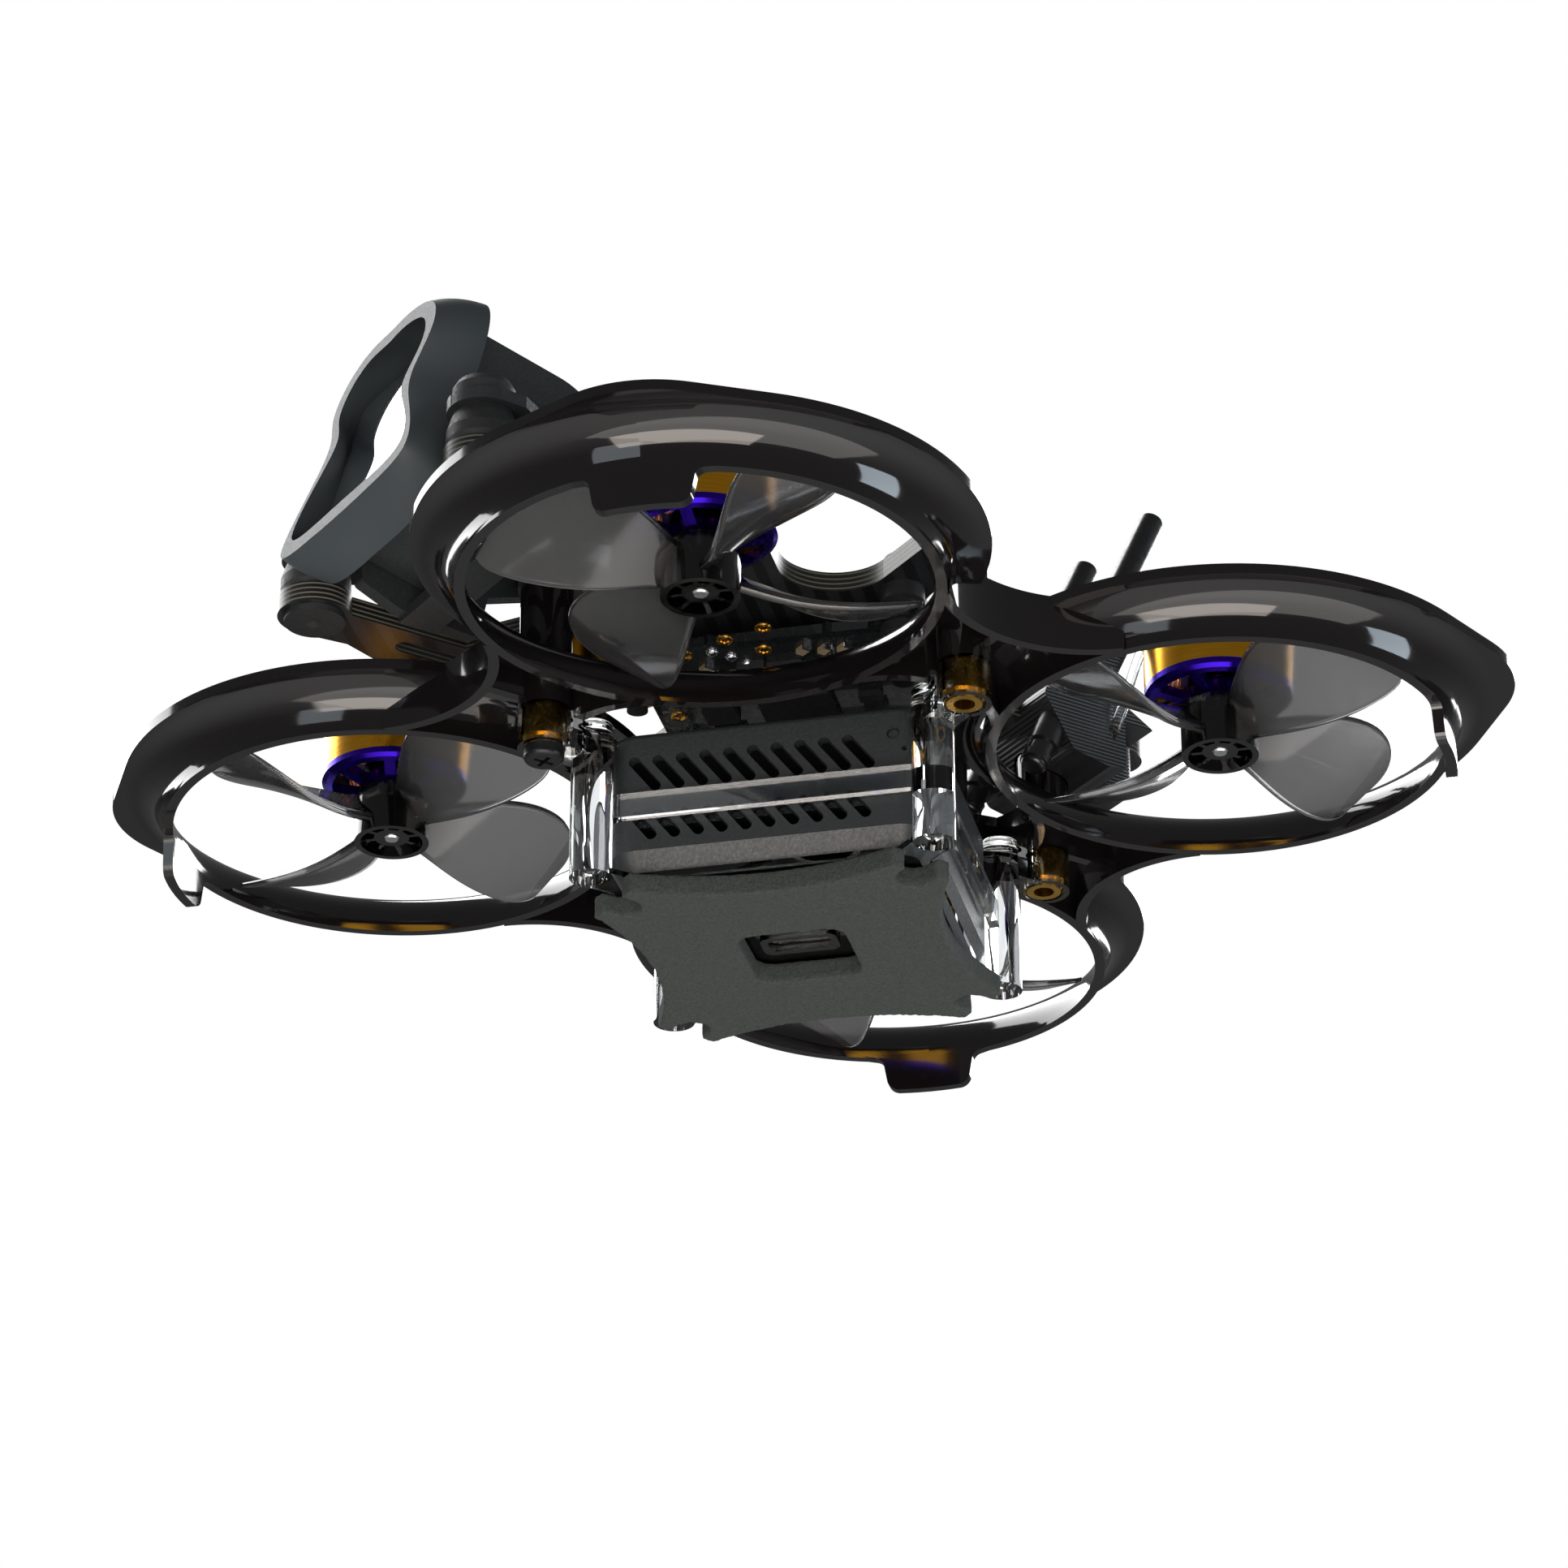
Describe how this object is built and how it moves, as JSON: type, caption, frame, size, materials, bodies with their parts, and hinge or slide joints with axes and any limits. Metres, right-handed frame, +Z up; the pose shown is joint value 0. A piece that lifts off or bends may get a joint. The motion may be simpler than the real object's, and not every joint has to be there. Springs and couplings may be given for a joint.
{
  "type": "ducted racing quadcopter",
  "caption": "Palm-size ducted racing quadcopter: guarded pusher rotors under a carbon plate, hooded tilting camera, slung video unit and foam landing pad.",
  "frame": {"origin": "centre of the square of the motor axes, on the underside of the foam landing pad", "axes": "+Z up along the rotor axes, -Y towards the nose and camera, +X to the craft's left"},
  "size_m": [0.109, 0.109, 0.0565],
  "materials": {
    "smoked_polycarbonate": "glossy smoky black",
    "carbon_plate": "woven carbon, satin",
    "black_aluminium": "black anodised",
    "stator_steel": "coated lamination stack",
    "enamelled_copper": "enamelled wire",
    "bearing_steel": "ground",
    "black_steel": "black oxide",
    "gold_anodised": "gold anodised",
    "purple_anodised": "purple anodised",
    "magnet_nickel": "nickel plate",
    "smoked_propeller": "glossy smoky black",
    "grey_foam": "open cell foam",
    "textured_black": "fine spark texture",
    "circuit_board": "black solder mask",
    "chip_black": "moulded epoxy",
    "black_rubber": "silicone",
    "knurled_brass": "knurled",
    "gold_can": "anodised can",
    "slate_hood": "soft satin",
    "antenna_sleeve": "heat shrink",
    "printed_tpu": "fine printed layers",
    "clear_polycarbonate": "clear moulded plastic",
    "camera_pane": "coated flat pane and lens",
    "clear_tube": "thin clear sleeve"
  },
  "bodies": {
    "airframe": {"duct_front_left": "smoked_polycarbonate", "duct_front_right": "smoked_polycarbonate", "duct_rear_left": "smoked_polycarbonate", "duct_rear_right": "smoked_polycarbonate", "bridge_front": "smoked_polycarbonate", "bridge_rear": "smoked_polycarbonate", "bridge_left": "smoked_polycarbonate", "bridge_right": "smoked_polycarbonate", "main_plate": "carbon_plate", "motor_bases": "black_aluminium", "stator_cores": "stator_steel", "motor_windings": "enamelled_copper", "motor_bearings": "bearing_steel", "motor_screws": "black_steel", "video_bracket": "clear_polycarbonate", "foam_pad": "grey_foam", "video_case": "textured_black", "video_lid": "textured_black", "video_board": "circuit_board", "flight_board": "circuit_board", "flight_components": "chip_black", "board_grommets": "black_rubber", "board_screws": "black_steel", "post_screws": "black_steel", "lower_screw": "black_steel", "post_inserts": "knurled_brass", "capacitor": "gold_can", "camera_dampers": "black_rubber", "camera_cradle": "textured_black", "antennas": "antenna_sleeve", "antenna_holder": "printed_tpu", "holder_screw": "black_steel", "receiver_tube": "clear_tube"},
    "rotor_front_left": {"bell_ring_front_left": "gold_anodised", "bell_cap_front_left": "purple_anodised", "magnets_front_left": "magnet_nickel", "shaft_front_left": "bearing_steel", "propeller_front_left": "smoked_propeller"},
    "rotor_front_right": {"bell_ring_front_right": "gold_anodised", "bell_cap_front_right": "purple_anodised", "magnets_front_right": "magnet_nickel", "shaft_front_right": "bearing_steel", "propeller_front_right": "smoked_propeller"},
    "rotor_rear_left": {"bell_ring_rear_left": "gold_anodised", "bell_cap_rear_left": "purple_anodised", "magnets_rear_left": "magnet_nickel", "shaft_rear_left": "bearing_steel", "propeller_rear_left": "smoked_propeller"},
    "rotor_rear_right": {"bell_ring_rear_right": "gold_anodised", "bell_cap_rear_right": "purple_anodised", "magnets_rear_right": "magnet_nickel", "shaft_rear_right": "bearing_steel", "propeller_rear_right": "smoked_propeller"},
    "camera": {"camera_hood": "slate_hood", "camera_body": "textured_black", "lens_barrel": "black_aluminium", "camera_glass": "camera_pane", "camera_tilt_screws": "black_steel"},
    "link_plunger": {"link_button": "textured_black"},
    "boot_plunger": {"boot_button": "chip_black"}
  },
  "joints": [
    {"name": "spin_front_left", "type": "hinge", "parent": "airframe", "child": "rotor_front_left", "pos_m": [0.0285, -0.0285, 0.024], "axis": [0, 0, 1], "continuous": true},
    {"name": "spin_front_right", "type": "hinge", "parent": "airframe", "child": "rotor_front_right", "pos_m": [-0.0285, -0.0285, 0.024], "axis": [0, 0, 1], "continuous": true},
    {"name": "spin_rear_left", "type": "hinge", "parent": "airframe", "child": "rotor_rear_left", "pos_m": [0.0285, 0.0285, 0.024], "axis": [0, 0, 1], "continuous": true},
    {"name": "spin_rear_right", "type": "hinge", "parent": "airframe", "child": "rotor_rear_right", "pos_m": [-0.0285, 0.0285, 0.024], "axis": [0, 0, 1], "continuous": true},
    {"name": "camera_tilt", "type": "hinge", "parent": "airframe", "child": "camera", "pos_m": [0, -0.0345, 0.04055], "axis": [1, 0, 0], "range_deg": [-14, 15]},
    {"name": "link_press", "type": "slide", "parent": "airframe", "child": "link_plunger", "axis": [-0.7071, 0.7071, 0], "range_m": [0, 0.0003], "stiffness_N_per_m": 400},
    {"name": "boot_press", "type": "slide", "parent": "airframe", "child": "boot_plunger", "axis": [0, 0, 1], "range_m": [0, 0.00025], "stiffness_N_per_m": 400}
  ]
}
